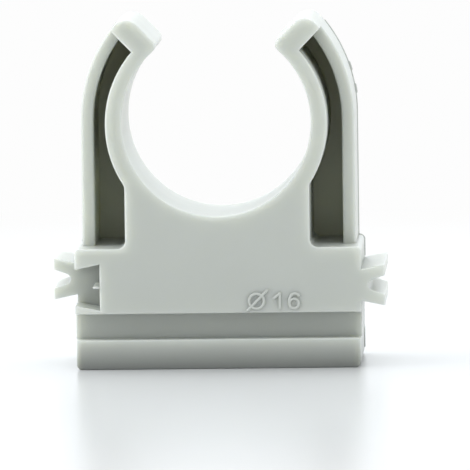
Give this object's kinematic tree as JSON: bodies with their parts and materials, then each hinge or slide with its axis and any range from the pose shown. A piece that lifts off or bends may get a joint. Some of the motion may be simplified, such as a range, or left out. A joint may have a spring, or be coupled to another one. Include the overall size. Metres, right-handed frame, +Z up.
{
  "type": "conduit clip",
  "caption": "Snap-in clip for round conduit: an open ring between backed arms, on a grooved foot with dovetail side links.",
  "frame": {"origin": "middle of the foot's underside", "axes": "+Z up from the mounting surface towards the open mouth; +Y along the conduit, from the front with the size mark to the back; +X along a row of clips, towards the tail that runs the whole depth"},
  "size_m": [0.0282, 0.016, 0.0295],
  "materials": {
    "grey_plastic": "light grey, satin as moulded"
  },
  "bodies": {
    "root": {"conduit_clip": "grey_plastic"}
  },
  "joints": []
}
